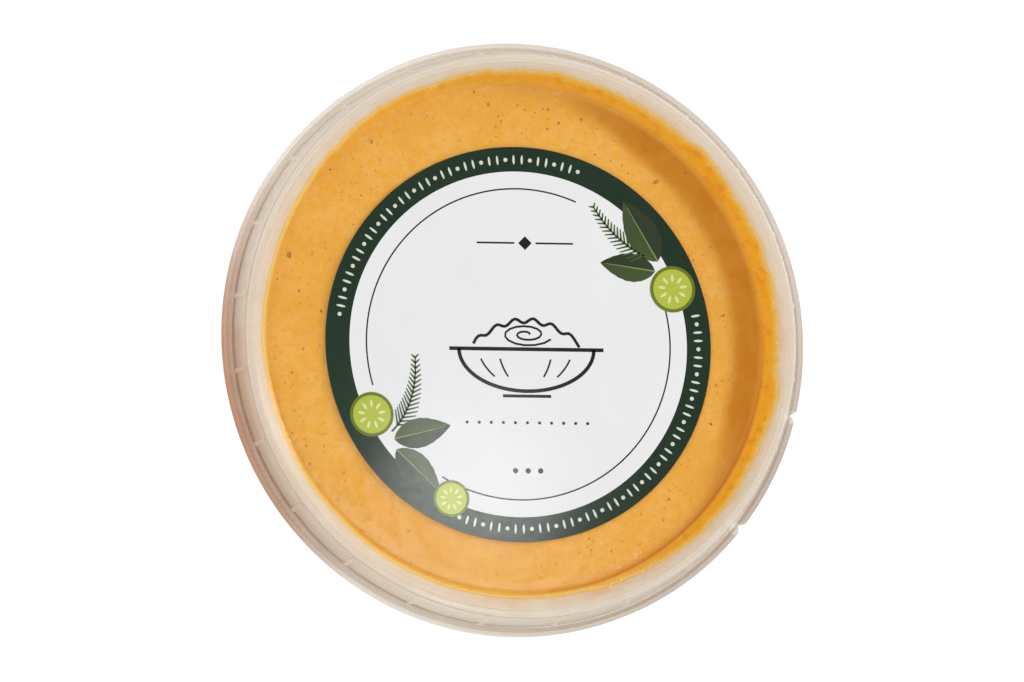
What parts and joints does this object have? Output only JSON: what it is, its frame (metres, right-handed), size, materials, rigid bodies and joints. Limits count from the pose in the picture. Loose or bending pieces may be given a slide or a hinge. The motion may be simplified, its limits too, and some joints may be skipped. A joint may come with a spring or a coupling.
{
  "type": "tub of spicy yoghurt dip",
  "caption": "Shut round plastic tub filled with smooth orange yoghurt dip, with a recessed clear snap lid, a guard collar and a round label on top.",
  "frame": {"origin": "under the middle of the base, on the surface that the tub stands on", "axes": "+Z up through the lid; +X is to the right and +Y up in the reference view; the tear tab lies from -14.5 to -39.1 degrees from +X"},
  "size_m": [0.12, 0.12, 0.036],
  "materials": {
    "tub_plastic": "translucent milky polypropylene, satin",
    "lid_plastic": "nearly clear polypropylene, glossy",
    "dip": "smooth orange dip with fine specks, moist satin",
    "label_paper": "coated paper label, white with a dark green ring, semi-gloss"
  },
  "bodies": {
    "root": {"tub": "tub_plastic", "lid": "lid_plastic", "dip": "dip", "label": "label_paper"}
  },
  "joints": []
}
